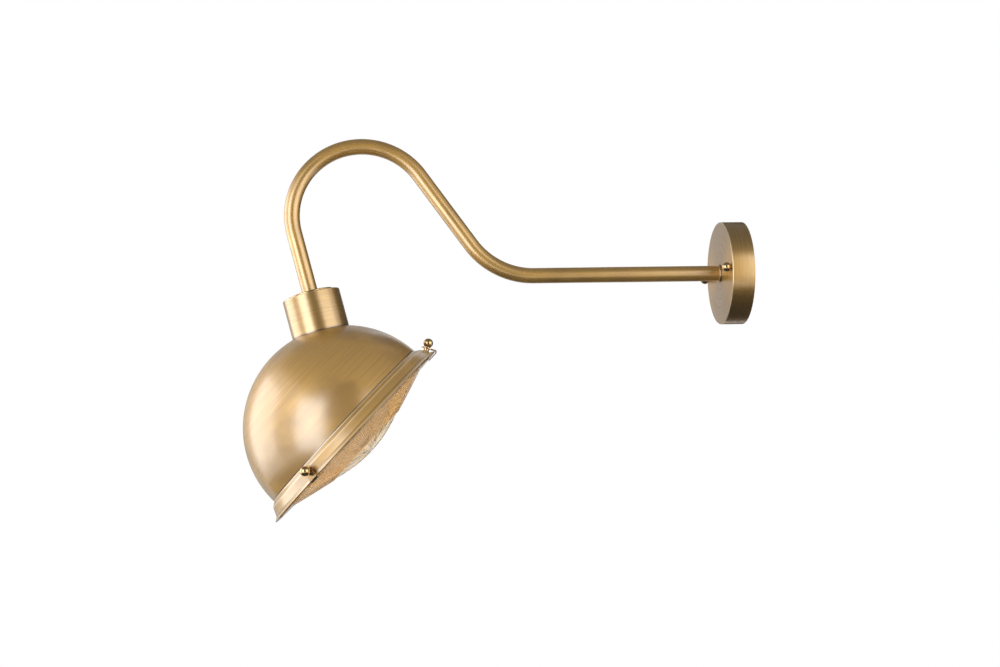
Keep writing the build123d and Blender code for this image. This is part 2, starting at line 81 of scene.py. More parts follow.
def soft_box(name, azimuth, height, size, radiance, colour, distance=2.6):
    """Wide lamp that the view doesn't see."""
    light = bpy.data.lights.new(name, "AREA")
    light.shape = "RECTANGLE"
    light.size, light.size_y = size
    light.energy = radiance * pi * size[0] * size[1]
    light.color = colour
    box = put(name, light)
    box.matrix_world = round_lamp(azimuth, height, distance)
    box.visible_camera = False


def card(name, azimuth, height, size, colour, distance=2.9):
    """Card that only the metal's reflections see."""
    bm = bmesh.new()
    bmesh.ops.create_grid(bm, x_segments=1, y_segments=1, size=0.5)
    bmesh.ops.scale(bm, vec=(size[0], size[1], 1), verts=bm.verts)
    bmesh.ops.transform(bm, matrix=round_lamp(azimuth, height, distance), verts=bm.verts)
    thing = put(name, mesh_of(name, bm))
    thing.visible_camera = thing.visible_diffuse = False
    thing.visible_transmission = thing.visible_shadow = False
    paint = bpy.data.materials.new(name)
    paint.use_nodes = True
    nodes = paint.node_tree.nodes
    nodes.clear()
    glow = nodes.new("ShaderNodeEmission")
    glow.inputs["Color"].default_value = (*colour, 1)
    result = nodes.new("ShaderNodeOutputMaterial")
    paint.node_tree.links.new(glow.outputs[0], result.inputs["Surface"])
    thing.data.materials.append(paint)


view = bpy.data.cameras.new("view")
view.sensor_width = 36
view.lens = 53.18
view_turn = Matrix((view_right, view_right.cross(view_forward), -view_forward)).transposed()
camera = put("view", view)
camera.matrix_world = Matrix.Translation(view_place) @ view_turn.to_4x4()
scene.camera = camera

soft_box("box_left_front", -41, 0, (1.5, 2.6), 3.2, daylight)
soft_box("box_left_back", -108, 4, (2.2, 2.6), 1.9, daylight)
soft_box("box_right", 47, 8, (2.4, 2.2), 1.5, lamplight)
card("card_above", 0, 88, (6.6, 6.6), dim_card)
card("card_below", 0, -90, (3.4, 3.4), black_card, distance=1.1)
card("card_front", 0, 6, (2.0, 5.0), dark_card)
card("card_wall", 130, 0, (4.0, 6.0), dark_card)
card("card_back", -158, 0, (3.6, 6.0), pale_card)

# The sky is white to the view, in reflections and through glass, and fills the shadows more softly.
world = bpy.data.worlds.new("studio")
scene.world = world
world.use_nodes = True
sky = world.node_tree
sky.nodes.clear()
rays = sky.nodes.new("ShaderNodeLightPath")
direct = sky.nodes.new("ShaderNodeMath")
direct.operation = "ADD"
sky.links.new(rays.outputs["Is Camera Ray"], direct.inputs[0])
sky.links.new(rays.outputs["Is Glossy Ray"], direct.inputs[1])
seen = sky.nodes.new("ShaderNodeMath")
seen.operation = "ADD"
seen.use_clamp = True
sky.links.new(direct.outputs[0], seen.inputs[0])
sky.links.new(rays.outputs["Is Transmission Ray"], seen.inputs[1])
strength = sky.nodes.new("ShaderNodeMapRange")
strength.inputs["To Min"].default_value = fill_sky
strength.inputs["To Max"].default_value = white_sky
sky.links.new(seen.outputs[0], strength.inputs["Value"])
white = sky.nodes.new("ShaderNodeBackground")
white.inputs["Color"].default_value = (1, 1, 1, 1)
sky.links.new(strength.outputs[0], white.inputs["Strength"])
sky_result = sky.nodes.new("ShaderNodeOutputWorld")
sky.links.new(white.outputs[0], sky_result.inputs["Surface"])

bm = bmesh.new()
bmesh.ops.create_circle(bm, cap_ends=True, segments=64, radius=floor_r)
bmesh.ops.translate(bm, vec=(0, 0, floor_z), verts=bm.verts)
floor = put("floor", mesh_of("floor", bm))
pale = bpy.data.materials.new("floor_pale")
pale.use_nodes = True
pale_shader = pale.node_tree.nodes["Principled BSDF"]
pale_shader.inputs["Base Color"].default_value = (0.9, 0.9, 0.89, 1)
pale_shader.inputs["Roughness"].default_value = 0.9
floor.data.materials.append(pale)


# ---------------------------------------------------------------- Canopy
# Spun brass cup that covers the wall box. Its side is brushed round and round, its face is
# satin, and the edge between them is rubbed bright, its pale band partly a painted highlight.
canopy_r, canopy_depth, canopy_wall, canopy_edge = 60.0, 26.0, 1.2, 0.9
nipple_hole_r, stud_hole_r, knob_x = 5.25, 2.25, 51.0
wall_frame = Matrix.Rotation(radians(90), 4, "X")
weld = 1e-6
gold, brown = (0.56, 0.32, 0.068), (0.31, 0.17, 0.042)
# Tints for thin rings: the pale one is rubbed edges and painted highlight, the near black one is painted
# shade.
bright, painted_shade = (0.74, 0.56, 0.32), (0.11, 0.065, 0.03)


def spun(outline, steps=144):
    """Solid turned about the z axis from a closed outline of (radius, height) points in mm."""
    bm = bmesh.new()
    points = [bm.verts.new((r * mm, 0, z * mm)) for r, z in outline]
    for one, two in zip(points, points[1:] + points[:1]):
        if one.co.x > 0 or two.co.x > 0:
            bm.edges.new((one, two))
    bmesh.ops.spin(bm, geom=list(bm.verts) + list(bm.edges), axis=(0, 0, 1), cent=(0, 0, 0),
                   angle=2 * pi, steps=steps, use_merge=True)
    bmesh.ops.remove_doubles(bm, verts=bm.verts, dist=weld)
    bmesh.ops.recalc_face_normals(bm, faces=bm.faces)
    return bm


def from_axis(spot):
    """Distance of a point from the z axis."""
    return hypot(spot.x, spot.y)


def rounded(bm, radius, *corners, segments=3, reach=0.02):
    """Round the ring edges within reach of these (radius, height) corners."""
    for r, z in corners:
        rim = [e for e in bm.edges if all(
            hypot(from_axis(v.co) - r * mm, v.co.z - z * mm) < reach * mm for v in e.verts)]
        bmesh.ops.bevel(bm, geom=rim, offset=radius * mm, segments=segments, profile=0.5,
                        affect="EDGES", material=-1)


def drilled(bm, *drills):
    """The solid with these other solids cut out of it."""
    blank = put("blank", mesh_of("blank", bm))
    tools = [put("drill", mesh_of("drill", drill)) for drill in drills]
    for tool in tools:
        cut = blank.modifiers.new("cut", "BOOLEAN")
        cut.solver = "EXACT"
        cut.object = tool
    bpy.context.view_layer.update()
    finished = blank.evaluated_get(bpy.context.evaluated_depsgraph_get())
    cut_mesh = bpy.data.meshes.new_from_object(finished)
    bm = bmesh.new()
    bm.from_mesh(cut_mesh)
    for used in [blank] + tools:
        mesh = used.data
        bpy.data.objects.remove(used)
        bpy.data.meshes.remove(mesh)
    bpy.data.meshes.remove(cut_mesh)
    return bm


def rod(radius, low, high, place=Matrix.Identity(4), steps=48):
    """Round bar along z, moved to a place."""
    bm = spun([(0, low), (radius, low), (radius, high), (0, high)], steps)
    bmesh.ops.transform(bm, matrix=place, verts=bm.verts)
    return bm


def turning_uv(bm):
    """UV map of a turned piece: u runs along its outline and v round its axis."""
    layer = bm.loops.layers.uv.new("turning")
    for face in bm.faces:
        middle = face.calc_center_median()
        start = atan2(middle.y, middle.x)
        for loop in face.loops:
            spot = loop.vert.co
            radius = from_axis(spot)
            swing = atan2(spot.y, spot.x) - start if radius > weld else 0
            around = start + (swing + pi) % (2 * pi) - pi
            loop[layer].uv = (radius - spot.z, around / (2 * pi))


def piece(name, bm, place, body, slot, materials, *stands_for, angle=35):
    """Finished piece: moved to its place, smooth but for its corners, and carried by its body."""
    bmesh.ops.transform(bm, matrix=place, verts=bm.verts)
    thing = put(name, mesh_of(name, bm))
    thing.data.shade_smooth()
    thing.data.set_sharp_from_angle(angle=radians(angle))
    for material in materials:
        thing.data.materials.append(material)
    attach(thing, body)
    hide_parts(*stands_for)


def new_group(name, inputs, outputs):
    """Node group with named sockets, its input node and its output node."""
    tree = bpy.data.node_groups.new(name, "ShaderNodeTree")
    for kind, label, value in inputs:
        socket = tree.interface.new_socket(label, in_out="INPUT", socket_type=kind)
        if value is not None:
            socket.default_value = value
    for kind, label in outputs:
        tree.interface.new_socket(label, in_out="OUTPUT", socket_type=kind)
    return tree, tree.nodes.new("NodeGroupInput"), tree.nodes.new("NodeGroupOutput")


def math(tree, operation, *values):
    """Math node fed by sockets or numbers."""
    node = tree.nodes.new("ShaderNodeMath")
    node.operation = operation
    for socket, value in zip(node.inputs, values):
        if isinstance(value, bpy.types.NodeSocket):
            tree.links.new(value, socket)
        else:
            socket.default_value = value
    return node.outputs[0]


def graded(tree, value, low, high, to_low=0.0, to_high=1.0):
    """Value carried smoothly from one range to another."""
    node = tree.nodes.new("ShaderNodeMapRange")
    node.interpolation_type = "SMOOTHSTEP"
    given = {"Value": value, "From Min": low, "From Max": high, "To Min": to_low, "To Max": to_high}
    for name, number in given.items():
        if isinstance(number, bpy.types.NodeSocket):
            tree.links.new(number, node.inputs[name])
        else:
            node.inputs[name].default_value = number
    return node.outputs[0]


def noise(tree, vector, scale, detail=2.0, roughness=0.5):
    """Cloudy value about a half."""
    node = tree.nodes.new("ShaderNodeTexNoise")
    tree.links.new(vector, node.inputs["Vector"])
    node.inputs["Scale"].default_value = scale
    node.inputs["Detail"].default_value = detail
    node.inputs["Roughness"].default_value = roughness
    return node.outputs["Fac"]


def mixed(tree, factor, first, second):
    """Colour between two, each a socket or an (r, g, b)."""
    node = tree.nodes.new("ShaderNodeMix")
    node.data_type = "RGBA"
    tree.links.new(factor, node.inputs["Factor"])
    for name, colour in (("A", first), ("B", second)):
        socket = next(s for s in node.inputs if s.name == name and s.type == "RGBA")
        if isinstance(colour, bpy.types.NodeSocket):
            tree.links.new(colour, socket)
        else:
            socket.default_value = (*colour, 1)
    return next(s for s in node.outputs if s.type == "RGBA")


def length_of(tree, one, two):
    """Length of a step made of two that stand square to each other."""
    squares = math(tree, "ADD", math(tree, "MULTIPLY", one, one), math(tree, "MULTIPLY", two, two))
    return math(tree, "SQRT", squares)


def round_axis(tree, vector):
    """(x, y, z, distance from the z axis) of a vector."""
    split = tree.nodes.new("ShaderNodeSeparateXYZ")
    tree.links.new(vector, split.inputs[0])
    x, y, z = split.outputs
    return x, y, z, length_of(tree, x, y)


def brushing_group():
    """Fine lines round the z axis, broken along their length, and broad blotches of patina."""
    broad_share = 0.2
    tree, given, result = new_group(
        "brushing",
        [("NodeSocketVector", "Vector", None), ("NodeSocketFloat", "Lines per metre", 900.0),
         ("NodeSocketFloat", "Breaks per metre", 14.0)],
        [("NodeSocketFloat", "Lines"), ("NodeSocketFloat", "Blotches")])
    x, y, z, radius = round_axis(tree, given.outputs["Vector"])
    joined = tree.nodes.new("ShaderNodeCombineXYZ")
    breaks = given.outputs["Breaks per metre"]
    tree.links.new(math(tree, "MULTIPLY", x, breaks), joined.inputs[0])
    tree.links.new(math(tree, "MULTIPLY", y, breaks), joined.inputs[1])
    along = math(tree, "SUBTRACT", radius, z)
    across = math(tree, "MULTIPLY", along, given.outputs["Lines per metre"])
    tree.links.new(across, joined.inputs[2])
    fine = noise(tree, joined.outputs[0], scale=1.0, detail=3.0, roughness=0.65)
    broad = noise(tree, joined.outputs[0], scale=0.22)
    lines = math(tree, "MULTIPLY_ADD", broad, broad_share, math(tree, "MULTIPLY", fine, 1 - broad_share))
    tree.links.new(lines, result.inputs["Lines"])
    blotches = noise(tree, given.outputs["Vector"], scale=16.0, detail=3.0, roughness=0.55)
    tree.links.new(blotches, result.inputs["Blotches"])
    return tree


def near_ring_group():
    """One at a ring of a given radius and height about the z axis, zero away from it."""
    tree, given, result = new_group(
        "near_ring",
        [("NodeSocketVector", "Vector", None), ("NodeSocketFloat", "Radius", 0.0),
         ("NodeSocketFloat", "Height", 0.0), ("NodeSocketFloat", "Width", 0.002)],
        [("NodeSocketFloat", "Mask")])
    _, _, z, radius = round_axis(tree, given.outputs["Vector"])
    across = math(tree, "SUBTRACT", radius, given.outputs["Radius"])
    up = math(tree, "SUBTRACT", z, given.outputs["Height"])
    outside = graded(tree, length_of(tree, across, up), 0.0, given.outputs["Width"])
    tree.links.new(math(tree, "SUBTRACT", 1.0, outside), result.inputs["Mask"])
    return tree


brushing = brushing_group()
near_ring = near_ring_group()


def own_frame(tree, place):
    """Object coordinates carried into a piece's own frame, whose z is its turning axis."""
    source = tree.nodes.new("ShaderNodeTexCoord")
    moved = tree.nodes.new("ShaderNodeMapping")
    inverse = place.inverted()
    moved.inputs["Location"].default_value = inverse.to_translation()
    moved.inputs["Rotation"].default_value = inverse.to_euler()
    tree.links.new(source.outputs["Object"], moved.inputs["Vector"])
    return moved.outputs[0]


def brass(name, place, roughness, lines, contrast=0.5, patina=0.5, metallic=1.0, anisotropy=0.0,
          relief=0.02, wear_and_highlight_rings=(), painted_shade_rings=(), base=gold):
    """Aged brass, brushed round its own axis and lacquered.

    Lines are counted per metre. Contrast and patina say how far the lines and the blotches go
    towards brown. Relief and the rings, each (radius, height, width), are in mm. The dark rings are
    painted shade, and the pale rings are rubbed edges that also paint highlights.
    """
    paint = bpy.data.materials.new(name)
    paint.use_nodes = True
    tree = paint.node_tree
    shader = tree.nodes["Principled BSDF"]
    local = own_frame(tree, place)
    grain = tree.nodes.new("ShaderNodeGroup")
    grain.node_tree = brushing
    grain.inputs["Lines per metre"].default_value = lines
    tree.links.new(local, grain.inputs["Vector"])
    spots = graded(tree, grain.outputs["Blotches"], 0.38, 0.68, to_high=patina)
    streaks = graded(tree, grain.outputs["Lines"], 0.35, 0.65, to_high=contrast)
    colour = mixed(tree, math(tree, "MAXIMUM", spots, streaks), base, brown)
    # Thin rings: painted shade in the dark tint, rubbed edges and painted highlights in the pale one.
    for rings, tint in ((painted_shade_rings, painted_shade), (wear_and_highlight_rings, bright)):
        for radius, height, width in rings:
            near = tree.nodes.new("ShaderNodeGroup")
            near.node_tree = near_ring
            for socket, size in (("Radius", radius), ("Height", height), ("Width", width)):
                near.inputs[socket].default_value = size * mm
            tree.links.new(local, near.inputs["Vector"])
            colour = mixed(tree, near.outputs["Mask"], colour, tint)
    tree.links.new(colour, shader.inputs["Base Color"])
    shader.inputs["Metallic"].default_value = metallic
    dullness = graded(tree, grain.outputs["Lines"], 0.3, 0.7, roughness * 0.85, roughness * 1.25)
    tree.links.new(dullness, shader.inputs["Roughness"])
    shader.inputs["Coat Weight"].default_value = 1
    shader.inputs["Coat Roughness"].default_value = 0.25
    shader.inputs["Coat IOR"].default_value = 2.1
    if anisotropy:
        shader.inputs["Anisotropic"].default_value = anisotropy
        tangent = tree.nodes.new("ShaderNodeTangent")
        tangent.direction_type = "UV_MAP"
        tangent.uv_map = "turning"
        tree.links.new(tangent.outputs[0], shader.inputs["Tangent"])
    if relief:
        bump = tree.nodes.new("ShaderNodeBump")
        bump.inputs["Distance"].default_value = relief * mm
        tree.links.new(grain.outputs["Lines"], bump.inputs["Height"])
        tree.links.new(bump.outputs[0], shader.inputs["Normal"])
    return paint


inner_r, inner_z = canopy_r - canopy_wall, canopy_depth - canopy_wall
bm = spun([(nipple_hole_r, canopy_depth), (canopy_r, canopy_depth), (canopy_r, 0), (inner_r, 0),
           (inner_r, inner_z), (nipple_hole_r, inner_z)], steps=192)
rounded(bm, canopy_edge, (canopy_r, canopy_depth), segments=5)
bm = drilled(bm, *[rod(stud_hole_r, 0, 2 * canopy_depth, Matrix.Translation((x * mm, 0, 0)))
                   for x in (knob_x, -knob_x)])
turning_uv(bm)
canopy_paint = brass("canopy_brass", wall_frame, roughness=0.42, lines=1100, patina=0.35,
                     anisotropy=0.6, wear_and_highlight_rings=[(canopy_r, canopy_depth, 1.6)])
piece("canopy", bm, wall_frame, "fixture", "brass_satin", [canopy_paint], "canopy_cover")


# ---------------------------------------------------------------- Ball knobs
# Turned brass ball nuts on the two studs. They hold the canopy against the wall.
ball_r, ball_neck_r, ball_neck_h, stud_bore_r, stud_bore_h = 5.5, 2.7, 0.4, 2.05, 6.4
ball_parts = 24
ball_centre = ball_neck_h + sqrt(ball_r**2 - ball_neck_r**2)


def ball_outline(foot_r, foot_z, centre=ball_centre):
    """Outer side of a ball from a foot at some radius up to its top on the axis."""
    start = -atan2(sqrt(ball_r**2 - foot_r**2), foot_r)
    turns = [start + (pi / 2 - start) * k / ball_parts for k in range(ball_parts)]
    arc = [(ball_r * cos(turn), centre + ball_r * sin(turn)) for turn in turns]
    neck = [(foot_r, foot_z)] if foot_z < arc[0][1] - weld / mm else []
    return neck + arc + [(0, centre + ball_r)]


for side, x in (("right", knob_x), ("left", -knob_x)):
    knob_place = wall_frame @ Matrix.Translation((x * mm, 0, canopy_depth * mm))
    stud_bore = [(0, stud_bore_h), (stud_bore_r, stud_bore_h), (stud_bore_r, 0)]
    bm = spun(ball_outline(ball_neck_r, 0) + stud_bore, steps=64)
    knob_paint = brass(f"knob_brass_{side}", knob_place, roughness=0.20, lines=2200, contrast=0.25,
                       patina=0.4)
    piece(f"knob_{side}", bm, knob_place, f"knob_{side}", "brass_bright", [knob_paint],
          f"canopy_knob_{side}")


# ---------------------------------------------------------------- Arm
# Brass tube bent cold on two formers, with one wall thickness all along. A turned ring sits
# between it and the canopy, and a threaded nipple inside clamps all three.
tube_r, tube_in_r, tube_sides = 9.0, 7.5, 56
ring_r, ring_h, ring_chamfer = 10.5, 2.4, 0.6
run_length, leg_length, drop_length = 218.6, 100.0, 71.6
wall_bend_r, wall_bend_turn = 88.0, 54.7
crook_r, lamp_tilt = 81.0, 14.0

ring_place = wall_frame @ Matrix.Translation((0, 0, canopy_depth * mm))
bm = spun([(nipple_hole_r, ring_h), (ring_r, ring_h), (ring_r, 0), (nipple_hole_r, 0)], steps=96)
rounded(bm, ring_chamfer, (ring_r, ring_h))
# Pale front edge: painted highlight. Dark foot against the canopy: painted shade.
ring_paint = brass("ring_brass", ring_place, roughness=0.22, lines=2500, contrast=0.35,
                   wear_and_highlight_rings=[(ring_r, ring_h, 0.9)], painted_shade_rings=[(ring_r, 0, 0.8)])
piece("arm_collar_ring", bm, ring_place, "fixture", "brass_bright", [ring_paint], "arm_ring")


def swept(radius):
    """Open skin of one radius along the arm's path: run, bend, leg, crook and drop.

    Each stretch is (straight length, turn in degrees, bend radius, parts).
    """
    path = [(run_length, 0, 0, 6), (0, -wall_bend_turn, wall_bend_r, 26), (leg_length, 0, 0, 3),
            (0, 90 + wall_bend_turn + lamp_tilt, crook_r, 64), (drop_length, 0, 0, 3)]
    bm = bmesh.new()
    bmesh.ops.create_circle(bm, cap_ends=False, segments=tube_sides, radius=radius * mm)
    spot = Vector((0, -(canopy_depth + ring_h) * mm, 0))
    bmesh.ops.transform(bm, matrix=Matrix.Translation(spot) @ wall_frame, verts=bm.verts)
    loop = list(bm.edges)
    turn = 0
    for length, swing, bend_r, parts in path:
        heading = Matrix.Rotation(radians(turn), 3, "X") @ Vector((0, -1, 0))
        to_centre = heading.cross(Vector((1, 0, 0))) * bend_r * mm * (-1 if swing > 0 else 1)
        grown = bmesh.ops.spin(bm, geom=loop + list({v for e in loop for v in e.verts}), axis=(1, 0, 0),
                               cent=spot + to_centre, angle=radians(swing),
                               dvec=heading * length * mm / parts, steps=parts)["geom_last"]
        loop = [g for g in grown if isinstance(g, bmesh.types.BMEdge)]
        arm = Matrix.Rotation(radians(swing), 3, "X") @ -to_centre
        spot = spot + to_centre + arm + heading * length * mm
        turn += swing
    return bm


bm = swept(tube_r)
inner_skin = mesh_of("inner_skin", swept(tube_in_r))
bm.from_mesh(inner_skin)
bpy.data.meshes.remove(inner_skin)
rims = [e for e in bm.edges if e.is_boundary]
wall_rims = [e for e in rims if e.verts[0].co.y > -run_length / 2 * mm]
lamp_rims = [e for e in rims if e not in wall_rims]
for end in (lamp_rims, wall_rims):
    bmesh.ops.bridge_loops(bm, edges=end)
bmesh.ops.recalc_face_normals(bm, faces=bm.faces)
tube_paint = brass("tube_brass", wall_frame, roughness=0.44, lines=14, contrast=0.2, patina=0.45,
                   metallic=0.85, relief=0)
piece("arm", bm, Matrix.Identity(4), "fixture", "brass_bright", [tube_paint], "arm_tube")


# ---------------------------------------------------------------- Collar
# Turned brass cup over the lamp holder, brushed round its side, with a low turned disc on top.
# The arm's nipple clamps both, and the cup's inner flange takes the shade's screws.
collar_r, collar_wall, collar_edge = 33.0, 1.4, 1.2
disc_r, disc_h, disc_edge = 26.0, 2.4, 0.72
flange_t, neck_hole_r = 3.2, 26.0
flange_mid_r = 30.0
dome_r, seat_gap, collar_top = 115.5, 0.1, 155.685
lamp_place = Matrix.Translation((0, -0.503405, -0.019442)) @ Matrix.Rotation(radians(lamp_tilt), 4, "X")


def on_ball(radius, ball):
    """Height in the lamp frame of a ball about the dome's centre, at a distance from the axis."""
    return sqrt(ball**2 - radius**2) - collar_top


seat_r, flange_r = dome_r + seat_gap, dome_r + flange_t
cup_in_r = collar_r - collar_wall
bm = spun([(nipple_hole_r, 0), (collar_r, 0), (collar_r, on_ball(collar_r, seat_r)),
           (flange_mid_r, on_ball(flange_mid_r, seat_r)), (neck_hole_r, on_ball(neck_hole_r, seat_r)),
           (neck_hole_r, on_ball(neck_hole_r, flange_r)), (cup_in_r, on_ball(cup_in_r, flange_r)),
           (cup_in_r, -collar_wall), (nipple_hole_r, -collar_wall)], steps=160)
rounded(bm, collar_edge, (collar_r, 0), segments=5)
turning_uv(bm)
# Pale top edge: painted highlight. Dark foot where the cup meets the dome: painted shade.
collar_paint = brass("collar_brass", lamp_place, roughness=0.42, lines=1000, contrast=0.6,
                     metallic=0.85, anisotropy=0.65, wear_and_highlight_rings=[(collar_r, 0, 1.5)],
                     painted_shade_rings=[(collar_r, on_ball(collar_r, seat_r), 1.8)])
piece("collar_cup", bm, lamp_place, "fixture", "brass_satin", [collar_paint], "collar")

bm = spun([(nipple_hole_r, disc_h), (disc_r, disc_h), (disc_r, 0), (nipple_hole_r, 0)], steps=128)
rounded(bm, disc_edge, (disc_r, disc_h))
# Dark foot on the cup: painted shade.
disc_paint = brass("disc_brass", lamp_place, roughness=0.25, lines=1500, patina=0.6,
                   painted_shade_rings=[(disc_r, 0, 1.4)])
piece("collar_disc", bm, lamp_place, "fixture", "brass_bright", [disc_paint], "cap_disc")


# ---------------------------------------------------------------- Shade
# Brass sheet spun over a former: half a ball, a sloping shoulder, a band and a flared lip. It is
# brushed round the opening's axis. The collar's hole and the clips' holes are bored after.
shade_tilt, sheet, shade_edge = 46.0, 1.0, 0.6
ball_z, shoulder_up, shoulder_thin = 15.9, 1.8, 0.4
shade_place = Matrix.Translation((0, -0.454304, -0.181548)) @ Matrix.Rotation(radians(shade_tilt), 4, "X")
shoulder_r = sqrt(dome_r**2 - shoulder_up**2)
lip, band_low, band_high = (130.986, 1.0), (125.986, 4.2), (121.286, 13.7)
shoulder = (shoulder_r, ball_z + shoulder_up)
band_angle = atan2(band_low[0] - band_high[0], band_high[1] - band_low[1])
clip_turns = {"top": 90, "near": -30, "far": -150}
screw_foot = (124.08, 8.053)
boss_hole_r, boss_drill = 3.35, 4.0
ball_rings, shade_steps, neck_drill = 72, 256, 200.0
to_lamp = shade_place.inverted() @ lamp_place


def ball_side(radius, steps):
    """Outline up a ball about the dome's centre, from its middle towards its pole."""
    first = atan2(shoulder_up, shoulder_r)
    turns = [first + (pi / 2 - first) * k / steps for k in range(1, steps)]
    return [(radius * cos(turn), ball_z + radius * sin(turn)) for turn in turns] + [(0, ball_z + radius)]


def within(*corners):
    """Corners of the sheet's inner side at the given outer corners."""
    normals = []
    for (r1, z1), (r2, z2) in zip(corners, corners[1:]):
        normals.append(Vector((z1 - z2, r2 - r1)).normalized())
    result = []
    for k, (r, z) in enumerate(corners):
        one, two = normals[max(k - 1, 0)], normals[min(k, len(normals) - 1)]
        shift = (one + two) / (1 + one.dot(two)) * sheet
        result.append((r + shift.x, z + shift.y))
    return result


def clip_place(name):
    """Frame on the band's outer side at a clip: x runs down the band, z leaves it squarely."""
    across = Matrix.Translation((screw_foot[0] * mm, 0, screw_foot[1] * mm))
    tilt = Matrix.Rotation(pi / 2 - band_angle, 4, "Y")
    return shade_place @ Matrix.Rotation(radians(clip_turns[name]), 4, "Z") @ across @ tilt


rim = [lip, band_low, band_high, shoulder]
inner_rim = within(*rim)
inner_rim[-1] = (sqrt((dome_r - sheet) ** 2 - shoulder_up**2), shoulder[1] - shoulder_thin)
ball_out, ball_in = ball_side(dome_r, ball_rings), ball_side(dome_r - sheet, ball_rings)
bm = spun(rim + ball_out + ball_in[::-1] + inner_rim[::-1], steps=shade_steps)
rounded(bm, shade_edge, band_low, band_high, shoulder)
drills = [rod(neck_hole_r, -neck_drill, 0, to_lamp, steps=128)]
for name in clip_turns:
    drills.append(rod(boss_hole_r, -boss_drill, boss_drill, shade_place.inverted() @ clip_place(name)))
bm = drilled(bm, *drills)
turning_uv(bm)
for face in bm.faces:
    spot = face.calc_center_median() - Vector((0, 0, ball_z * mm))
    face.material_index = int(spot.z > 0 and spot.length < (dome_r - sheet / 2) * mm)
# Pale rings at the lip, the band's top and the shoulder: rubbed edges and painted highlights. Dark rings
# above the shoulder, under the lip and in the band's low corner: painted shade.
wear_and_highlight_edges = [(lip[0] - 1.3, lip[1] + 0.9, 1.2), (*band_high, 1.3), (*shoulder, 1.0)]
painted_shade_edges = [(shoulder_r, shoulder[1] + 1.1, 1.4), (130.4, 0.1, 1.1), (*band_low, 0.8)]
shade_paint = brass("shade_brass", shade_place, roughness=0.56, lines=1000, patina=0.75, metallic=0.62,
                    anisotropy=0.4, wear_and_highlight_rings=wear_and_highlight_edges, painted_shade_rings=painted_shade_edges)
# The inside is painted pale and nearly matt, a painted glow that shows through the lens.
inside_paint = brass("shade_inside", shade_place, roughness=0.5, lines=500, contrast=0, patina=0,
                     metallic=0.2, base=(1.0, 0.78, 0.46))
piece("shade", bm, shade_place, "fixture", "brass_satin", [shade_paint, inside_paint], "shade_dome")


# ---------------------------------------------------------------- Lens
# Pressed clear glass with a flat ground rim, tinted warm as a painted glow of the brass inside. Outside,
# rings of small prisms surround a middle with long flutes. The inside is smooth, and the clips hold the
# rim to the seal.
glass_r, glass_low, glass_rim_h, glass_t = 120.946, -0.4, 9.5, 4.0
bulge_r, bulge_edge, knee_r, bulge_drop = 103.946, 1.0, 27.28, 23.0
middle_share, middle_rings, back_rings = 0.62, 10, 16
prism_rings, prism_count, prism_bevel, prism_h, cell_slope = 24, 240, 0.42, 0.8, -0.2
flute_count, flute_h, flute_drop, rim_play = 24, 0.9, 2.0, 0.01


def bulge(u, lift=0.0):
    """Point of the bulge, from its tip at 0 to its rim at 1."""
    return (2 * u * (1 - u) * knee_r + u * u * bulge_r, glass_low - bulge_drop * (1 - u * u) + lift)


middle = [bulge(middle_share * k / middle_rings) for k in range(middle_rings + 1)]
prisms = [bulge(middle_share + (1 - middle_share) * k / prism_rings) for k in range(1, prism_rings + 1)]
back = [bulge(1 - k / back_rings, glass_t) for k in range(back_rings + 1)]
rim_top = glass_low + glass_rim_h
rim = [(glass_r, glass_low), (glass_r, rim_top), (bulge_r + bulge_edge, rim_top)]
bm = spun(middle + prisms + rim + back, steps=prism_count)
middle_r, low_side = middle[-1][0] * mm, (glass_low - rim_play) * mm
cells = []
for face in bm.faces:
    spot = face.calc_center_median()
    if face.normal.z < cell_slope and spot.z < low_side and from_axis(spot) > middle_r:
        cells.append(face)
bmesh.ops.inset_individual(bm, faces=cells, thickness=prism_bevel * mm, depth=prism_h * mm,
                           use_even_offset=True)
for vert in bm.verts:
    r = from_axis(vert.co)
    if vert.normal.z < 0 and weld < r < middle_r - weld and vert.co.z < low_side - flute_drop * mm:
        wave = abs((atan2(vert.co.y, vert.co.x) / (2 * pi) * flute_count) % 1 - 0.5) * 2
        vert.co.z -= wave * flute_h * mm * sin(pi * r / middle_r)
glass = bpy.data.materials.new("lens_glass")
glass.use_nodes = True
tree = glass.node_tree
shader = tree.nodes["Principled BSDF"]
# The warm tint is painted light: the glow of the brass inside the shade.
shader.inputs["Base Color"].default_value = (1.0, 0.85, 0.63, 1)
shader.inputs["Transmission Weight"].default_value = 1
shader.inputs["IOR"].default_value = 1.13
cloud = noise(tree, own_frame(tree, shade_place), scale=60.0, detail=3.0)
tree.links.new(graded(tree, cloud, 0.3, 0.7, to_low=0.08, to_high=0.14), shader.inputs["Roughness"])
piece("lens", bm, shade_place, "fixture", "lens", [glass], "lens_glass", angle=12)


# ---------------------------------------------------------------- Clips
# Brass strips with eased edges, bent into hooks under the lip. A ball-headed screw holds each
# through its slot and runs in a rivet nut in the band.
standoff, strap_t, strap_w, strap_edge, bend_r, bend_parts = 4.0, 1.0, 11.5, 0.14, 2.1, 8
head_r, head_parts, waist_w, waist_drop = 6.3, 10, 9.6, 5.04
hook_z, hook_reach, slot_w, slot_l, slot_low, slot_high = -1.4, 14.5, 4.6, 6.4, 2, 8
shank_r, thumb_collar_r, thumb_collar_h, thumb_reach, thumb_play = 2.0, 3.7, 0.8, 1.6, 0.3
nut_bore_r, nut_r, nut_h, nut_foot_r, nut_foot_h, nut_foot_side = 2.05, 3.1, 3.7, 4.1, 1.2, 0.48
swage_r, swage_low, swage_high, sharp_corner = 3.8, -1.6, -1.2, 50
under_head = standoff + strap_t + thumb_play


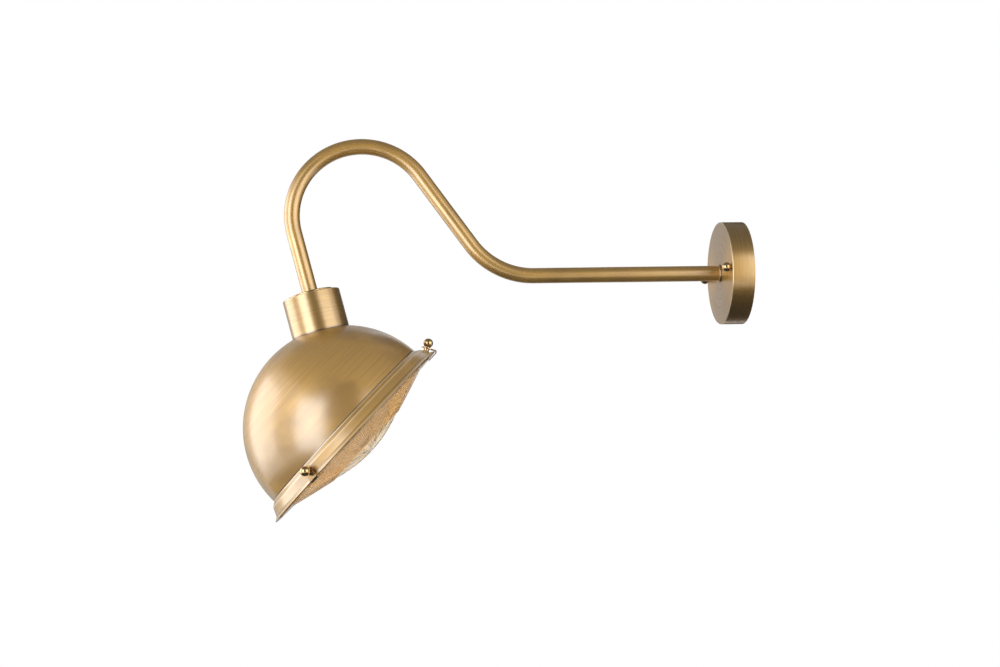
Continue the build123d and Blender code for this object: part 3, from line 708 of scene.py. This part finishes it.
def strap_path():
    """Middle line of a strap as (distance down it, (radius, height), normal) in the shade frame."""
    down = Vector((sin(band_angle), -cos(band_angle)))
    out = Vector((cos(band_angle), sin(band_angle)))
    start = Vector(screw_foot) + out * (standoff + strap_t / 2) - down * head_r
    length = (start.y - hook_z) / cos(band_angle)
    turn = pi / 2 + band_angle
    cut = bend_r * sin(turn / 2) / cos(turn / 2)
    stops = [head_r * (1 - cos(pi / 2 * k / head_parts)) for k in range(head_parts + 1)]
    stops += [head_r + s for s in (1.4, 2.8, 4.1, waist_drop, 7.0, 8.6, 2 * waist_drop)]
    stops = [s for s in stops if s < length - cut] + [length - cut]
    line = [(s, start + down * s, out) for s in stops]
    centre = start + down * (length - cut) - out * bend_r
    for k in range(1, bend_parts + 1):
        angle = turn * k / bend_parts
        normal = out * cos(angle) + down * sin(angle)
        line.append((length, centre + normal * bend_r, normal))
    corner = start + down * length
    line.append((length, Vector((corner.x - hook_reach, hook_z)), Vector((0, -1))))
    return line


def half_width(s):
    """Half of a strap's width at a distance down it: round head, waist, then full width."""
    x = s - head_r
    head = sqrt(max(head_r**2 - x**2, 0))
    neck = waist_w / 2 + (strap_w - waist_w) / 2 * min(max(x / waist_drop - 1, 0), 1)
    return max(head, neck) if x >= 0 else head


def strap(name):
    """Strip along its middle line, turned to its place round the rim and slotted for its screw."""
    bm = bmesh.new()
    rows = []
    for s, spot, normal in strap_path():
        row = []
        for side, face in ((-1, 1), (1, 1), (1, -1), (-1, -1)):
            at = spot + normal * face * strap_t / 2
            row.append(bm.verts.new((at.x * mm, side * half_width(s) * mm, at.y * mm)))
        rows.append(row)
    for one, two in zip(rows, rows[1:]):
        for k in range(4):
            bm.faces.new((one[k], one[(k + 1) % 4], two[(k + 1) % 4], two[k]))
    bm.faces.new(rows[0])
    bm.faces.new(rows[-1])
    bmesh.ops.remove_doubles(bm, verts=bm.verts, dist=weld)
    bmesh.ops.dissolve_degenerate(bm, edges=bm.edges, dist=weld)
    bmesh.ops.recalc_face_normals(bm, faces=bm.faces)
    edges = [e for e in bm.edges if e.is_manifold and e.calc_face_angle() > radians(sharp_corner)]
    bmesh.ops.bevel(bm, geom=edges, offset=strap_edge * mm, segments=1, profile=0.5,
                    affect="EDGES", material=-1)
    turn = Matrix.Rotation(radians(clip_turns[name]), 4, "Z")
    bmesh.ops.transform(bm, matrix=shade_place @ turn, verts=bm.verts)
    slots = [rod(slot_w / 2, slot_low, slot_high, clip_place(name) @ Matrix.Translation((x * mm, 0, 0)))
             for x in (-(slot_l - slot_w) / 2, 0, (slot_l - slot_w) / 2)]
    return drilled(bm, *slots)


nuts = bmesh.new()
for name in clip_turns:
    place = clip_place(name)
    clip_paint = brass(f"clip_brass_{name}", place, roughness=0.24, lines=900, contrast=0.3)
    piece(f"clip_strap_{name}", strap(name), Matrix.Identity(4), f"strap_{name}", "brass_bright",
          [clip_paint], f"clip_{name}")
    foot = sqrt(ball_r**2 - (ball_centre - thumb_collar_h) ** 2)
    shank = [(0, -thumb_reach), (shank_r, -thumb_reach), (shank_r, under_head),
             (thumb_collar_r, under_head), (thumb_collar_r, under_head + thumb_collar_h)]
    ball = ball_outline(foot, under_head + thumb_collar_h, under_head + ball_centre)
    bm = spun(shank + ball, steps=64)
    # Dark ring where the collar meets the ball: painted shade.
    screw_paint = brass(f"thumbscrew_brass_{name}", place, roughness=0.2, lines=1800, contrast=0.3,
                        painted_shade_rings=[(thumb_collar_r, under_head + thumb_collar_h, 1.2)])
    piece(f"thumb_{name}", bm, place, f"screw_{name}", "brass_bright", [screw_paint],
          f"thumbscrew_{name}")
    bm = spun([(nut_bore_r, swage_low), (swage_r, swage_low), (swage_r, swage_high), (nut_r, swage_high),
               (nut_r, seat_gap), (nut_foot_r, seat_gap), (nut_foot_r, seat_gap + nut_foot_side),
               (nut_r, seat_gap + nut_foot_h), (nut_r, nut_h), (nut_bore_r, nut_h)], steps=48)
    bmesh.ops.transform(bm, matrix=place, verts=bm.verts)
    nut = mesh_of("nut", bm)
    nuts.from_mesh(nut)
    bpy.data.meshes.remove(nut)
nut_paint = brass("nut_brass", shade_place, roughness=0.22, lines=700, contrast=0.2, patina=0.6)
piece("rivet_nuts", nuts, Matrix.Identity(4), "fixture", "brass_bright", [nut_paint], "clip_bosses")


# ---------------------------------------------------------------- Inner parts
# Bracket, studs, nipples, nuts, wiring block and lamp holder keep their shape from the frame.
# Steel is plated, the holder is glazed porcelain, and the block is moulded plastic.


def plain(name, colour, metallic, roughness, variation=0.15, scale=150.0, coat=0.0):
    """Even finish with slight cloudiness in colour and roughness."""
    paint = bpy.data.materials.new(name)
    paint.use_nodes = True
    tree = paint.node_tree
    shader = tree.nodes["Principled BSDF"]
    source = tree.nodes.new("ShaderNodeTexCoord")
    cloud = noise(tree, source.outputs["Object"], scale, detail=3.0, roughness=0.6)
    dirt = graded(tree, cloud, 0.3, 0.7, to_high=variation)
    half_dark = tuple(share / 2 for share in colour)
    tree.links.new(mixed(tree, dirt, colour, half_dark), shader.inputs["Base Color"])
    dullness = graded(tree, cloud, 0.3, 0.7, roughness * 0.85, roughness * 1.2)
    tree.links.new(dullness, shader.inputs["Roughness"])
    shader.inputs["Metallic"].default_value = metallic
    shader.inputs["Coat Weight"].default_value = coat
    return paint


steel = plain("steel", (0.56, 0.56, 0.57), 1.0, 0.3)
raw_brass = plain("raw_brass", (0.72, 0.52, 0.25), 1.0, 0.25)
green = plain("earth_green", (0.05, 0.30, 0.09), 0.6, 0.35)
porcelain = plain("porcelain", (0.86, 0.85, 0.81), 0.0, 0.18, 0.05, 60.0, 0.5)
plastic = plain("block_plastic", (0.86, 0.85, 0.80), 0.0, 0.45, 0.06)
rubber = plain("seal_silicone", (0.75, 0.75, 0.72), 0.0, 0.6, 0.1)
finishes = {
    "wall_bracket": steel, "canopy_studs": steel, "terminal_block": plastic, "terminal_screws": raw_brass,
    "block_screws": steel, "earth_screw": green, "wall_nipple": steel, "wall_washer": steel,
    "wall_nut": steel, "arm_wall_plug": raw_brass, "arm_lamp_plug": raw_brass, "lamp_nipple": steel,
    "lamp_washer": steel, "lamp_nut": steel, "holder_cap": steel, "holder_screws": steel,
    "holder_body": porcelain, "holder_shell": raw_brass, "holder_contact": raw_brass,
    "shade_ring": steel, "shade_screws": steel, "lens_seal": rubber,
}
for node, finish in finishes.items():
    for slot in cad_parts[node].material_slots:
        slot.material = finish
